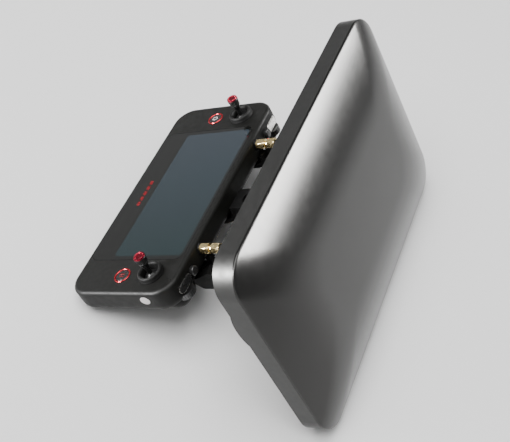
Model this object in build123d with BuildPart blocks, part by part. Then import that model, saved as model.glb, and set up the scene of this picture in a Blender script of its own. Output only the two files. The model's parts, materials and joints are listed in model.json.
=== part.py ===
from build123d import *
import os
from math import asin, atan2, degrees, hypot, radians, tan

# Hand-held remote controller with a built-in touch display and a flat directional antenna panel
# carried on a bracket behind it. Millimetres. Everything is modelled in the controller's own
# frame: origin at the centre of the face, +X to the user's right, +Y away from the user, +Z out
# of the face. At the end the whole object is tilted so that it stands on a table, on the two
# hand ridges and the bottom edge of the panel.

# ---- controller case ----
body_length = 226.0
body_width = 103.2
body_depth = 22.0
plan_radius = 18.0
face_radius = 3.5
back_radius = 8.0
face_wall = 2.4
side_wall = 2.2
split_z = -15.8
ridge_x = 91.0
ridge_width = 28.0
ridge_low_y = -40.0
ridge_high_y = 50.5
ridge_depth = 30.0
ridge_radius = 8.0
top_side = body_width / 2

# ---- glass and display ----
glass_half_length = 77.55
glass_low_y = -48.3
glass_high_y = 46.0
glass_thickness = 1.5
glass_radius = 8.0
seam = 0.3
screen_half_length = 73.45
screen_low_y = -23.6
screen_high_y = 43.45

# ---- sticks ----
stick_x = 93.0
stick_y = 25.6
pivot_z = -5.0
shaft_radius = 1.9
running = 0.05
head_top_z = 19.4

# ---- face buttons ----
button_x = 94.0
button_y = -3.2
ring_outer = 7.25
ring_inner = 5.95

# ---- shoulder controls on the far side ----
pill_x = 92.5
pill_z = -11.3
pill_length = 16.2
pill_height = 6.4
dial_x = 93.0
dial_y = 47.2
dial_z = -19.0
dial_radius = 8.0
dial_thickness = 5.2
round_button_x = 79.5
round_button_z = -11.0
round_button_radius = 3.9

# ---- antenna connectors ----
jack_x = 60.3
jack_z = -7.0

# ---- bracket ----
hinge_y = 117.0
hinge_z = -29.0
rod_radius = 3.0
eye_radius = 8.0
plate_top_z = -22.0
plate_thickness = 3.6
plate_low_y = 9.0
plate_high_y = 40.5
arm_bottom_z = -37.0
claw = (55.5, 62.0)
side_arm = (64.6, 75.6)
lug = (56.4, 64.0)
centre_arm_half = 11.4

# ---- antenna panel ----
panel_length = 292.0
panel_top_z = 55.8
panel_bottom_z = -127.6
panel_back_y = 131.57
rim_depth = 14.8
panel_radius = 24.0
rim_wall = 3.0
dome_height = 17.0
dome_slope = 62.0
dome_power = 2.2
radome_wall = 2.6
cover_thickness = 1.6
gasket_thickness = 0.4
panel_height = panel_top_z - panel_bottom_z
panel_z = (panel_top_z + panel_bottom_z) / 2
rim_front_y = panel_back_y + rim_depth
radome_back_y = rim_front_y + gasket_thickness

groups = {}


def keep(piece, name):
    """Put a finished piece under its name; like pieces of one kind share a name."""
    piece.part.label = name
    groups.setdefault(name, []).append(piece.part)


def facing_away(x, y, z):
    """Plane whose normal is +Y and whose x axis is +X, at the given point."""
    return Plane(origin=(x, y, z), x_dir=(1, 0, 0), z_dir=(0, 1, 0))


def across(x):
    """Plane whose normal is +X, with +Y as its first axis and +Z as its second."""
    return Plane(origin=(x, 0, 0), x_dir=(0, 1, 0), z_dir=(1, 0, 0))


def side_name(side):
    return "right" if side > 0 else "left"


# ---- case shells ----
with BuildPart() as body_block:
    with BuildSketch(Plane.XY.offset(-body_depth)):
        RectangleRounded(body_length, body_width, plan_radius)
    extrude(amount=body_depth)
    fillet(body_block.faces().sort_by(Axis.Z)[-1].edges(), face_radius)
    fillet(body_block.faces().sort_by(Axis.Z)[0].edges(), back_radius)

with BuildPart() as ridge_block:
    ridge_width_y = ridge_high_y - ridge_low_y
    with BuildSketch(Plane.XY.offset(-ridge_depth)):
        ridge_y = ridge_low_y + ridge_width_y / 2
        with Locations((-ridge_x, ridge_y), (ridge_x, ridge_y)):
            RectangleRounded(ridge_width, ridge_width_y, 11)
    extrude(amount=ridge_depth - 14)
    fillet(ridge_block.faces().sort_by(Axis.Z)[0:2].edges(), ridge_radius)

boss_spots = [(-60, -43), (-11.5, -43), (11.5, -43), (60, -43)]
ridge_boss_spots = [(-ridge_x, -28.6), (ridge_x, -28.6)]
glass_y = (glass_low_y + glass_high_y) / 2
screen_y = (screen_low_y + screen_high_y) / 2
screen_length = 2 * screen_half_length
screen_height = screen_high_y - screen_low_y
pocket_z = -glass_thickness - 0.05

with BuildPart() as front_shell:
    add(body_block.part)
    split(bisect_by=Plane.XY.offset(split_z), keep=Keep.TOP)
    # cavity
    with BuildSketch(Plane.XY.offset(split_z)):
        RectangleRounded(body_length - 2 * side_wall, body_width - 2 * side_wall, plan_radius - side_wall)
    extrude(amount=-split_z - face_wall, mode=Mode.SUBTRACT)
    # pocket for the glass and window for the display
    with BuildSketch(Plane.XY.offset(pocket_z)):
        with Locations((0, glass_y)):
            RectangleRounded(
                2 * (glass_half_length + seam), glass_high_y - glass_low_y + 2 * seam, glass_radius + seam
            )
    extrude(amount=5, mode=Mode.SUBTRACT)
    with BuildSketch(Plane.XY.offset(-4)):
        with Locations((0, screen_y)):
            RectangleRounded(screen_length + 4, screen_height + 3.2, 4)
    extrude(amount=4, mode=Mode.SUBTRACT)
    # holes for sticks and face buttons
    with Locations((-stick_x, stick_y, 0), (stick_x, stick_y, 0)):
        Hole(8.55, depth=6)
    with Locations((-button_x, button_y, 0), (button_x, button_y, 0)):
        Hole(ring_outer + 0.05, depth=6)
    # two pin holes near the far right corner: status light and microphone
    with Locations((97.0, 43.6, 0), (98.6, 46.6, 0)):
        Hole(0.45, depth=6)
    # screw bosses
    with BuildSketch(Plane.XY.offset(split_z)):
        with Locations(*boss_spots, *ridge_boss_spots):
            Circle(3.1)
    extrude(amount=-split_z - face_wall)
    with BuildSketch(Plane.XY.offset(split_z)):
        with Locations(*boss_spots, *ridge_boss_spots):
            Circle(1.25)
    extrude(amount=8, mode=Mode.SUBTRACT)
    # far side: shoulder buttons, round buttons and antenna jacks
    with BuildSketch(facing_away(0, 30, pill_z)):
        with Locations((-pill_x, 0), (pill_x, 0)):
            SlotOverall(pill_length + 1.6, pill_height + 1.6)
    extrude(amount=30, mode=Mode.SUBTRACT)
    with BuildSketch(facing_away(0, 45, round_button_z)):
        with Locations((-round_button_x, 0), (round_button_x, 0)):
            Circle(round_button_radius + 0.3)
    extrude(amount=10, mode=Mode.SUBTRACT)
    with BuildSketch(facing_away(0, 45, jack_z)):
        with Locations((-jack_x, 0), (jack_x, 0)):
            Circle(3.25)
    extrude(amount=10, mode=Mode.SUBTRACT)
    # near side: charging port, video port and power button
    with BuildSketch(facing_away(0, -60, -9.5)):
        SlotOverall(9.8, 4.2)
        with Locations((24, 0)):
            Rectangle(16.2, 6.8)
        with Locations((-24, 0)):
            Circle(4.5)
    extrude(amount=12, mode=Mode.SUBTRACT)
keep(front_shell, "front_shell")

with BuildPart() as rear_shell:
    add(body_block.part)
    add(ridge_block.part)
    split(bisect_by=Plane.XY.offset(split_z), keep=Keep.BOTTOM)
    # shallow tray between the ridges
    with BuildSketch(Plane.XY.offset(-body_depth + 2.2)):
        RectangleRounded(body_length - 12, body_width - 12, plan_radius - 6)
    extrude(amount=body_depth + split_z - 2.2, mode=Mode.SUBTRACT)
    # hollow ridges
    with BuildSketch(Plane.XY.offset(-ridge_depth + 2.4)):
        with Locations((-ridge_x, 0), (ridge_x, 0)):
            RectangleRounded(ridge_width - 6, 66, 6)
    extrude(amount=ridge_depth + split_z - 2.4, mode=Mode.SUBTRACT)
    # dial slots in the far corners
    with BuildSketch(Plane.XY.offset(dial_z - dial_thickness / 2 - 0.4)):
        with Locations((-dial_x, dial_y), (dial_x, dial_y)):
            Circle(dial_radius + 0.5)
    extrude(amount=12, mode=Mode.SUBTRACT)
    # screw bosses with counterbores
    with BuildSketch(Plane.XY.offset(-body_depth + 2.2)):
        with Locations(*boss_spots):
            Circle(3.6)
    extrude(amount=body_depth + split_z - 2.2)
    with BuildSketch(Plane.XY.offset(-body_depth)):
        with Locations(*boss_spots):
            Circle(1.35)
    extrude(amount=body_depth + split_z, mode=Mode.SUBTRACT)
    with BuildSketch(Plane.XY.offset(-body_depth)):
        with Locations(*boss_spots):
            Circle(2.4)
    extrude(amount=1.5, mode=Mode.SUBTRACT)
    # screw columns inside the ridges
    with BuildSketch(Plane.XY.offset(-ridge_depth + 2.4)):
        with Locations(*ridge_boss_spots):
            Circle(3.6)
    extrude(amount=ridge_depth + split_z - 2.4)
    with BuildSketch(Plane.XY.offset(-ridge_depth)):
        with Locations(*ridge_boss_spots):
            Circle(1.35)
    extrude(amount=ridge_depth + split_z, mode=Mode.SUBTRACT)
    with BuildSketch(Plane.XY.offset(-ridge_depth)):
        with Locations(*ridge_boss_spots):
            Circle(2.4)
    extrude(amount=1.5, mode=Mode.SUBTRACT)
    # four holes for the bracket's screw inserts
    with BuildSketch(Plane.XY.offset(-body_depth)):
        with Locations((0, (plate_low_y + plate_high_y) / 2)):
            with GridLocations(92, 20, 2, 2):
                Circle(3.0)
    extrude(amount=4.5, mode=Mode.SUBTRACT)
keep(rear_shell, "rear_shell")

with BuildPart() as shell_screws:
    for spots, depth in ((boss_spots, body_depth), (ridge_boss_spots, ridge_depth)):
        with BuildSketch(Plane.XY.offset(-depth + 0.1)):
            with Locations(*spots):
                Circle(2.3)
        extrude(amount=1.3)
        with BuildSketch(Plane.XY.offset(-depth + 1.4)):
            with Locations(*spots):
                Circle(1.25)
        extrude(amount=depth - 11)
        with BuildSketch(Plane.XY.offset(-depth)):
            with Locations(*spots):
                RegularPolygon(1.0, 6)
        extrude(amount=0.9, mode=Mode.SUBTRACT)
keep(shell_screws, "case_screws")

with BuildPart() as ridge_pads:
    with BuildSketch(Plane.XY.offset(-ridge_depth - 0.8)):
        with Locations((-ridge_x, 4), (ridge_x, 4)):
            RectangleRounded(ridge_width - 17, 56, 3)
    extrude(amount=0.8)
keep(ridge_pads, "ridge_pads")

# ---- glass, display and the electronics behind them ----
with BuildPart() as cover_glass:
    with BuildSketch(Plane.XY.offset(pocket_z)):
        with Locations((0, glass_y)):
            RectangleRounded(2 * glass_half_length, glass_high_y - glass_low_y, glass_radius)
    extrude(amount=glass_thickness)
keep(cover_glass, "cover_glass")

display_bottom = pocket_z - 2.6
with BuildPart() as display_module:
    with BuildSketch(Plane.XY.offset(display_bottom)):
        with Locations((0, screen_y)):
            RectangleRounded(screen_length + 3, screen_height + 2.4, 3)
    extrude(amount=2.6)
keep(display_module, "display_module")

mid_frame_bottom = display_bottom - 1.2
with BuildPart() as mid_frame:
    with BuildSketch(Plane.XY.offset(mid_frame_bottom)):
        Rectangle(148, 78)
        with Locations((0, 0)):
            with GridLocations(40, 44, 3, 2):
                RectangleRounded(26, 20, 3, mode=Mode.SUBTRACT)
    extrude(amount=1.2)
keep(mid_frame, "mid_frame")

board_top = mid_frame_bottom - 1.4
with BuildPart() as main_board:
    with BuildSketch(Plane.XY.offset(board_top - 1.6)):
        with Locations((0, 2)):
            Rectangle(140, 70)
    extrude(amount=1.6)
    # shielding cans on the side away from the display
    with BuildSketch(Plane.XY.offset(board_top - 3.2)):
        with Locations((-40, 12), (0, 12), (40, 12)):
            RectangleRounded(28, 24, 1)
    extrude(amount=1.6)
keep(main_board, "main_board")

with BuildPart() as battery_pack:
    with BuildSketch(Plane.XY.offset(-body_depth + 2.6)):
        with Locations((-36, -14), (36, -14)):
            RectangleRounded(62, 40, 3)
    extrude(amount=6.2)
keep(battery_pack, "battery_pack")

with BuildPart() as speaker:
    with BuildSketch(Plane.XY.offset(-14)):
        with Locations((-42, -43.5)):
            RectangleRounded(22, 9, 2)
    extrude(amount=5)
keep(speaker, "speaker")

# ---- near-side ports and power button ----
with BuildPart() as usb_port:
    with BuildSketch(facing_away(0, -top_side + 0.2, -9.5)):
        SlotOverall(9.6, 4.0)
        SlotOverall(8.9, 3.3, mode=Mode.SUBTRACT)
    extrude(amount=7.2)
    with BuildSketch(facing_away(0, -top_side + 7.0, -9.5)):
        SlotOverall(9.6, 4.0)
    extrude(amount=0.8)
    with BuildSketch(facing_away(0, -top_side + 1.4, -9.5)):
        Rectangle(6.6, 0.7)
    extrude(amount=6)
keep(usb_port, "usb_port")

with BuildPart() as hdmi_port:
    with BuildSketch(facing_away(24, -top_side + 0.2, -9.5)):
        Rectangle(15.8, 6.4)
        Rectangle(14.6, 5.2, mode=Mode.SUBTRACT)
    extrude(amount=10.0)
    with BuildSketch(facing_away(24, -top_side + 9.8, -9.5)):
        Rectangle(15.8, 6.4)
    extrude(amount=0.8)
    with BuildSketch(facing_away(24, -top_side + 1.6, -9.5)):
        Rectangle(11.6, 0.9)
    extrude(amount=8.4)
keep(hdmi_port, "hdmi_port")

with BuildPart() as power_button:
    with BuildSketch(facing_away(-24, -top_side - 0.7, -9.5)):
        Circle(4.2)
    extrude(amount=4.0)
    fillet(power_button.faces().sort_by(Axis.Y)[0].edges(), 0.5)
    with BuildSketch(facing_away(-24, -top_side + 3.3, -9.5)):
        Circle(5.0)
    extrude(amount=0.8)
keep(power_button, "power_button")

with BuildPart() as seal_dot:
    with BuildSketch(Plane(origin=(body_length / 2, 0, 0), x_dir=(0, 1, 0), z_dir=(1, 0, 0))):
        with Locations((25.6, -7.7)):
            Ellipse(4.4, 3.9)
    extrude(amount=0.15)
keep(seal_dot, "seal_dot")


# ---- sticks ----
def stick_set(side):
    """Collar, gimbal and stick of one side."""
    name = side_name(side)
    x = side * stick_x
    axis_plane = Plane(origin=(x, stick_y, 0), x_dir=(1, 0, 0), z_dir=(0, -1, 0))
    turning = Axis((x, stick_y, 0), (0, 0, 1))

    with BuildPart() as collar:
        with BuildSketch(axis_plane):
            with BuildLine():
                Polyline((7.25, -2.4), (8.5, -2.4), (8.5, 0), (10.75, 0), (10.75, 1.6))
                Spline((10.75, 1.6), (10.1, 3.6), (8.5, 4.9), tangents=((0, 1), (-1, 0.25)))
                Spline((8.5, 4.9), (7.6, 4.6), (7.25, 3.6), tangents=((-1, 0), (0, -1)))
                Line((7.25, 3.6), (7.25, -2.4))
            make_face()
        revolve(axis=turning)
    keep(collar, "stick_collars")

    with BuildPart() as gimbal_frame:
        with BuildSketch(Plane.XY.offset(-9.6)):
            with Locations((x, stick_y)):
                RectangleRounded(26, 26, 4)
                Circle(7.4, mode=Mode.SUBTRACT)
        extrude(amount=7.1)
        with BuildSketch(across(x - 15)):
            with Locations((stick_y, pivot_z)):
                Circle(1.5 + running)
        extrude(amount=30, mode=Mode.SUBTRACT)
    keep(gimbal_frame, "gimbal_frames")

    with BuildPart() as gimbal_board:
        with BuildSketch(Plane.XY.offset(-13.8)):
            with Locations((x, stick_y)):
                RectangleRounded(25, 25, 2)
        extrude(amount=1.6)
        # post that carries the position sensor, under the gimbal frame
        with BuildSketch(Plane.XY.offset(-12.2)):
            with Locations((x - 10.4, stick_y - 10.4), (x + 10.4, stick_y + 10.4)):
                Circle(1.6)
        extrude(amount=2.6)
    keep(gimbal_board, "control_boards")

    with BuildPart() as yoke:
        with BuildSketch(Plane.XY.offset(pivot_z - 1.5)):
            with Locations((x, stick_y)):
                Circle(6.4)
        extrude(amount=3.0)
        with BuildSketch(across(x - 10.6)):
            with Locations((stick_y, pivot_z)):
                Circle(1.5)
        extrude(amount=21.2)
        with BuildSketch(Plane.XY.offset(pivot_z - 2)):
            with Locations((x, stick_y)):
                Circle(4.0)
        extrude(amount=4.0, mode=Mode.SUBTRACT)
        with BuildSketch(facing_away(x, stick_y - 8, pivot_z)):
            Circle(1.1 + running)
        extrude(amount=16, mode=Mode.SUBTRACT)
    keep(yoke, f"{name}_yoke")

    with BuildPart() as shaft:
        with BuildSketch(Plane.XY.offset(-8.6)):
            with Locations((x, stick_y)):
                Circle(shaft_radius)
        extrude(amount=22.6)
        with Locations((x, stick_y, pivot_z)):
            Sphere(2.7)
        with BuildSketch(facing_away(x, stick_y - 6.1, pivot_z)):
            Circle(1.1)
        extrude(amount=12.2)
    keep(shaft, f"{name}_stick_shaft")

    with BuildPart() as dust_cap:
        with BuildSketch(axis_plane):
            with BuildLine():
                outer = CenterArc((0, pivot_z), 7.5, 40, 50)
                inner = CenterArc((0, pivot_z), 6.9, 40, 50)
                Line(outer @ 0, inner @ 0)
                Line(outer @ 1, inner @ 1)
            make_face()
            with Locations((0, pivot_z + 7)):
                Rectangle(2 * shaft_radius, 4, mode=Mode.SUBTRACT)
        revolve(axis=turning)
    keep(dust_cap, f"{name}_stick_head")

    with BuildPart() as head:
        with BuildSketch(axis_plane):
            with BuildLine():
                Polyline((shaft_radius, 12.6), (2.9, 12.6), (3.3, 13.6))
                Spline((3.3, 13.6), (3.75, 16.2), (4.7, 18.5), tangents=((0.1, 1), (0.6, 1)))
                Polyline((4.7, 18.5), (4.7, 18.9), (4.4, head_top_z), (0, head_top_z), (0, 14.0))
                Polyline((0, 14.0), (shaft_radius, 14.0), (shaft_radius, 12.6))
            make_face()
        revolve(axis=turning)
    keep(head, f"{name}_stick_head")

    with BuildPart() as crown:
        with BuildSketch(Plane.XY.offset(head_top_z)):
            with Locations((x, stick_y)):
                Circle(4.2)
                Circle(2.3, mode=Mode.SUBTRACT)
        extrude(amount=0.7)
        with BuildSketch(Plane.XY.offset(head_top_z + 0.7)):
            with Locations((x, stick_y)):
                Circle(4.2)
                Circle(2.3, mode=Mode.SUBTRACT)
                with PolarLocations(3.25, 8):
                    Rectangle(3.2, 1.1, mode=Mode.SUBTRACT)
        extrude(amount=0.8)
    keep(crown, f"{name}_stick_crown")


# ---- face buttons ----
def face_button(side, name):
    """Ring and cap of the button at the face's far left or far right."""
    x = side * button_x
    with BuildPart() as ring:
        with BuildSketch(Plane.XY.offset(-face_wall)):
            with Locations((x, button_y)):
                Circle(ring_outer)
                Circle(ring_inner, mode=Mode.SUBTRACT)
        extrude(amount=face_wall + 0.4)
        chamfer(ring.faces().sort_by(Axis.Z)[-1].edges(), 0.25)
    keep(ring, "button_rings")

    with BuildPart() as cap:
        with BuildSketch(Plane.XY.offset(-3.5)):
            with Locations((x, button_y)):
                Circle(ring_inner - 0.3)
        extrude(amount=3.65)
        fillet(cap.faces().sort_by(Axis.Z)[-1].edges(), 0.4)
        with BuildSketch(Plane.XY.offset(-4.3)):
            with Locations((x, button_y)):
                Circle(7.0)
        extrude(amount=0.8)
    keep(cap, f"{name}_button")


with BuildPart() as tact_switches:
    for x in (-button_x, button_x):
        with BuildSketch(Plane.XY.offset(-8.4)):
            with Locations((x, button_y)):
                Rectangle(6, 6)
        extrude(amount=2.4)
        with BuildSketch(Plane.XY.offset(-6.0)):
            with Locations((x, button_y)):
                Circle(1.6)
        extrude(amount=0.8)
keep(tact_switches, "control_boards")

with BuildPart() as button_boards:
    with BuildSketch(Plane.XY.offset(-9.6)):
        with Locations((-button_x, button_y), (button_x, button_y)):
            RectangleRounded(16, 16, 1.5)
    extrude(amount=1.2)
keep(button_boards, "control_boards")


# ---- shoulder controls ----
def outline_solid(grow):
    """Upright block with the case's plan outline, grown or shrunk by the given amount."""
    with BuildPart() as block:
        with BuildSketch(Plane.XY.offset(-body_depth)):
            RectangleRounded(body_length + 2 * grow, body_width + 2 * grow, plan_radius + grow)
        extrude(amount=body_depth)
    return block.part


bezel_outside = outline_solid(0.35)
bezel_inside = outline_solid(-side_wall)
button_outside = outline_solid(0.75)
button_inside = outline_solid(-side_wall - 1.2)


def shoulder_set(side):
    """Pill button with its bezel, round button and dial in one far corner."""
    name = side_name(side)
    with BuildPart() as bezel:
        with BuildSketch(facing_away(side * pill_x, 30, pill_z)):
            SlotOverall(pill_length + 1.5, pill_height + 1.5)
            SlotOverall(pill_length + 0.6, pill_height + 0.6, mode=Mode.SUBTRACT)
        extrude(amount=30)
        add(bezel_outside, mode=Mode.INTERSECT)
        add(bezel_inside, mode=Mode.SUBTRACT)
    keep(bezel, "shoulder_bezels")

    with BuildPart() as button:
        with BuildSketch(facing_away(side * pill_x, 30, pill_z)):
            SlotOverall(pill_length, pill_height)
        extrude(amount=30)
        add(button_outside, mode=Mode.INTERSECT)
        add(button_inside, mode=Mode.SUBTRACT)
    keep(button, f"{name}_shoulder_button")

    with BuildPart() as round_button:
        with BuildSketch(facing_away(side * round_button_x, top_side - 3.0, round_button_z)):
            Circle(round_button_radius)
        extrude(amount=6.2)
        fillet(round_button.faces().sort_by(Axis.Y)[-1].edges(), 1.2)
        with BuildSketch(facing_away(side * round_button_x, top_side - 4.2, round_button_z)):
            Circle(round_button_radius + 0.7)
        extrude(amount=1.2)
    keep(round_button, f"{name}_round_button")

    with BuildPart() as dial:
        with BuildSketch(Plane.XY.offset(dial_z - dial_thickness / 2)):
            with Locations((side * dial_x, dial_y)):
                Circle(dial_radius)
                Circle(1.5 + running, mode=Mode.SUBTRACT)
                with PolarLocations(dial_radius, 24):
                    Circle(0.45, mode=Mode.SUBTRACT)
        extrude(amount=dial_thickness)
    keep(dial, f"{name}_dial")


with BuildPart() as dial_axles:
    with BuildSketch(Plane.XY.offset(dial_z - dial_thickness / 2 - 0.4)):
        with Locations((-dial_x, dial_y), (dial_x, dial_y)):
            Circle(1.5)
    extrude(amount=dial_thickness + 0.6)
keep(dial_axles, "dial_axles")


# ---- antenna connectors and their leads ----
panel_jack_x = 47.0
panel_jack_z = -80.0


def lead_points(side):
    """Route of one coaxial lead, from the controller's plug to the plug at the panel."""
    jack = side * jack_x
    end = side * panel_jack_x
    step = jack - end
    return [
        (jack, 79.5, jack_z),
        (jack, 90.0, jack_z),
        (jack - 0.26 * step, 99.0, jack_z - 14.0),
        (jack - 0.46 * step, 100.5, jack_z - 31.0),
        (jack - 0.68 * step, 97.0, jack_z - 48.0),
        (jack - 0.88 * step, 96.0, jack_z - 62.0),
        (end, 102.5, panel_jack_z),
        (end, 109.5, panel_jack_z),
    ]


lead_radius = 1.4


def connector_set(side):
    """Jack on the case, plug and coaxial lead, plug and jack on the panel."""
    name = side_name(side)
    x = side * jack_x
    with BuildPart() as jack:
        with BuildSketch(facing_away(x, top_side - side_wall - 1.6, jack_z)):
            RegularPolygon(4.6, 6)
        extrude(amount=1.6)
        with BuildSketch(facing_away(x, top_side - side_wall - 1.6, jack_z)):
            Circle(3.17)
        extrude(amount=12.4)
        with BuildSketch(facing_away(x, top_side + 0.1, jack_z)):
            RegularPolygon(4.3, 6)
            Circle(3.17, mode=Mode.SUBTRACT)
        extrude(amount=1.6)
    keep(jack, "antenna_jacks")

    with BuildPart() as plug:
        with BuildSketch(facing_away(x, top_side + 1.9, jack_z)):
            RegularPolygon(4.5, 6)
            Circle(3.17, mode=Mode.SUBTRACT)
        extrude(amount=6.7)
        with BuildSketch(facing_away(x, top_side + 8.6, jack_z)):
            RegularPolygon(4.5, 6)
        extrude(amount=1.3)
        with BuildSketch(facing_away(x, top_side + 9.9, jack_z)):
            Circle(3.1)
        extrude(amount=3.0)
        with BuildSketch(facing_away(x, top_side + 12.9, jack_z)):
            RegularPolygon(4.2, 6)
        extrude(amount=7.0)
        with BuildSketch(facing_away(x, top_side + 19.9, jack_z)):
            Circle(2.5)
        extrude(amount=8.0)
    keep(plug, "lead_plugs")

    points = [Vector(*p) for p in lead_points(side)]
    runs = [points[i + 1] - points[i] for i in range(len(points) - 1)]
    radii = []
    for first, second in zip(runs, runs[1:]):
        half_turn = radians(first.get_angle(second)) / 2
        radii.append(0.45 * min(first.length, second.length) / tan(half_turn))
    with BuildPart() as lead:
        with BuildLine() as path:
            FilletPolyline(*points, radius=radii)
        with BuildSketch(Plane(origin=path.line @ 0, z_dir=path.line % 0)):
            Circle(lead_radius)
        sweep()
    length = path.wires()[0].length
    section = 3.14159265 * lead_radius**2
    print(name, "lead", round(length, 1), "volume ratio", round(lead.part.volume / (section * length), 4))
    keep(lead, f"{name}_lead")

    end = side * panel_jack_x
    panel_outer_y = panel_back_y - cover_thickness
    with BuildPart() as panel_plug:
        with BuildSketch(facing_away(end, 109.5, panel_jack_z)):
            Circle(2.5)
        extrude(amount=7.0)
        with BuildSketch(facing_away(end, 116.5, panel_jack_z)):
            Circle(3.1)
        extrude(amount=2.0)
        with BuildSketch(facing_away(end, 118.5, panel_jack_z)):
            RegularPolygon(4.5, 6)
        extrude(amount=1.2)
        with BuildSketch(facing_away(end, 119.7, panel_jack_z)):
            RegularPolygon(4.5, 6)
            Circle(3.17, mode=Mode.SUBTRACT)
        extrude(amount=6.6)
    keep(panel_plug, "panel_plugs")

    with BuildPart() as panel_jack:
        with BuildSketch(facing_away(end, 119.9, panel_jack_z)):
            Circle(3.17)
        extrude(amount=panel_outer_y - 119.9 + 4.0)
        with BuildSketch(facing_away(end, panel_outer_y - 2.0, panel_jack_z)):
            RegularPolygon(4.6, 6)
            Circle(3.17, mode=Mode.SUBTRACT)
        extrude(amount=2.0)
    keep(panel_jack, "panel_jacks")


# ---- bracket ----
seat_z = plate_top_z - plate_thickness
plate_y = (plate_low_y + plate_high_y) / 2
tripod_y = -2.5
tripod_pad = 6.6
with BuildPart() as mount_plate:
    with BuildSketch(Plane.XY.offset(seat_z)):
        with Locations((0, plate_y)):
            RectangleRounded(2 * side_arm[1] - 1, plate_high_y - plate_low_y, 4)
            with Locations((-29, -1), (29, -1)):
                RectangleRounded(16, 14, 3, mode=Mode.SUBTRACT)
            with GridLocations(92, 20, 2, 2):
                Circle(2.15, mode=Mode.SUBTRACT)
    extrude(amount=plate_thickness)
    # thick tongue with the tripod socket
    with BuildSketch(Plane.XY.offset(seat_z - tripod_pad)):
        with Locations((0, -1.3)):
            RectangleRounded(26, 20.6, 5)
    extrude(amount=tripod_pad + plate_thickness)
    with BuildSketch(Plane.XY.offset(seat_z)):
        with Locations((0, 8)):
            Rectangle(26, 8)
    extrude(amount=plate_thickness)
    with BuildSketch(Plane.XY.offset(seat_z - tripod_pad)):
        with Locations((0, tripod_y)):
            Circle(4.85)
    extrude(amount=8.5, mode=Mode.SUBTRACT)
keep(mount_plate, "mount_plate")

with BuildPart() as tripod_insert:
    with BuildSketch(Plane.XY.offset(seat_z - tripod_pad)):
        with Locations((0, tripod_y)):
            Circle(4.8)
            Circle(3.175, mode=Mode.SUBTRACT)
    extrude(amount=8.5)
keep(tripod_insert, "brass_inserts")

with BuildPart() as mount_screws:
    with Locations((0, plate_y)):
        with GridLocations(92, 20, 2, 2):
            with Locations((0, 0, seat_z - 2.4)):
                Cylinder(3.6, 2.4, align=(Align.CENTER, Align.CENTER, Align.MIN))
            with Locations((0, 0, seat_z)):
                Cylinder(1.98, plate_thickness + 4, align=(Align.CENTER, Align.CENTER, Align.MIN))
    with BuildSketch(Plane.XY.offset(seat_z - 2.4)):
        with Locations((0, plate_y)):
            with GridLocations(92, 20, 2, 2):
                RegularPolygon(1.5, 6)
    extrude(amount=1.5, mode=Mode.SUBTRACT)
keep(mount_screws, "case_screws")

with BuildPart() as screw_inserts:
    with BuildSketch(Plane.XY.offset(-body_depth + 0.02)):
        with Locations((0, plate_y)):
            with GridLocations(92, 20, 2, 2):
                Circle(2.95)
                Circle(2.0, mode=Mode.SUBTRACT)
    extrude(amount=4.3)
keep(screw_inserts, "brass_inserts")

with BuildPart() as centre_arm:
    with BuildSketch(across(-centre_arm_half)):
        with BuildLine():
            Polyline(
                (11, seat_z), (43, seat_z), (49.5, -23.2), (53, -19.5), (53.6, -12.5), (84, -12.5),
                (hinge_y, hinge_z + eye_radius), (hinge_y, hinge_z - eye_radius), (108, -36.2), (82, -17.6),
                (57.4, -17.6), (56.8, -20.4), (51.8, -26.4), (43.6, -29.2), (11, -29.2), (11, seat_z),
            )
        make_face()
        with Locations((hinge_y, hinge_z)):
            Circle(eye_radius)
            Circle(rod_radius + running, mode=Mode.SUBTRACT)
    extrude(amount=2 * centre_arm_half)
    # long lightening slot through the flat part of the arm
    with BuildSketch(Plane.XY.offset(-12)):
        with Locations((0, 71)):
            RectangleRounded(9, 18, 3)
    extrude(amount=-6, mode=Mode.SUBTRACT)
keep(centre_arm, "centre_arm")


def side_arm_piece(side):
    """Outer arm of one side, from under the plate to the hinge eye."""
    low_x = side_arm[0] if side > 0 else -side_arm[1]
    with BuildPart() as piece:
        with BuildSketch(across(low_x)):
            with BuildLine():
                Polyline(
                    (11, seat_z), (44.5, seat_z), (52, -22.5), (57, -20), (64, -20),
                    (hinge_y, hinge_z + eye_radius), (hinge_y, hinge_z - eye_radius), (48.5, arm_bottom_z),
                )
                Spline((48.5, arm_bottom_z), (45.2, -35.5), (43, -33), tangents=((-1, 0), (-0.5, 0.8)))
                Polyline((43, -33), (41.5, -31.2), (11, -31.2), (11, seat_z))
            make_face()
            with Locations((hinge_y, hinge_z)):
                Circle(eye_radius)
                Circle(rod_radius + running, mode=Mode.SUBTRACT)
        extrude(amount=side_arm[1] - side_arm[0])
    keep(piece, "side_arms")


def claw_piece(side):
    """Claw that hooks up behind the case under the antenna connector."""
    low_x = claw[0] if side > 0 else -claw[1]
    with BuildPart() as piece:
        with BuildSketch(across(low_x)):
            with BuildLine():
                Polyline(
                    (36.5, seat_z), (45, seat_z), (49.5, -23.6), (52.4, -21), (52.6, -15.5), (56.4, -15.5),
                    (56.4, -22.6), (51.6, -28.2), (46, -29.2), (36.5, -29.2), (36.5, seat_z),
                )
            make_face()
        extrude(amount=claw[1] - claw[0])
    keep(piece, "claws")


side_arm_piece(-1)
side_arm_piece(1)
claw_piece(-1)
claw_piece(1)

rod_half = side_arm[1] + 7
with BuildPart() as hinge_rod:
    with BuildSketch(across(-rod_half)):
        with Locations((hinge_y, hinge_z)):
            Circle(rod_radius)
    extrude(amount=2 * rod_half)
keep(hinge_rod, "hinge_rod")

with BuildPart() as rod_nuts:
    for low in (-side_arm[1] - 5.2, side_arm[1] + 0.2):
        with BuildSketch(across(low)):
            with Locations((hinge_y, hinge_z)):
                RegularPolygon(5.6, 6)
                Circle(rod_radius, mode=Mode.SUBTRACT)
        extrude(amount=5.0)
keep(rod_nuts, "rod_nuts")

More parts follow.
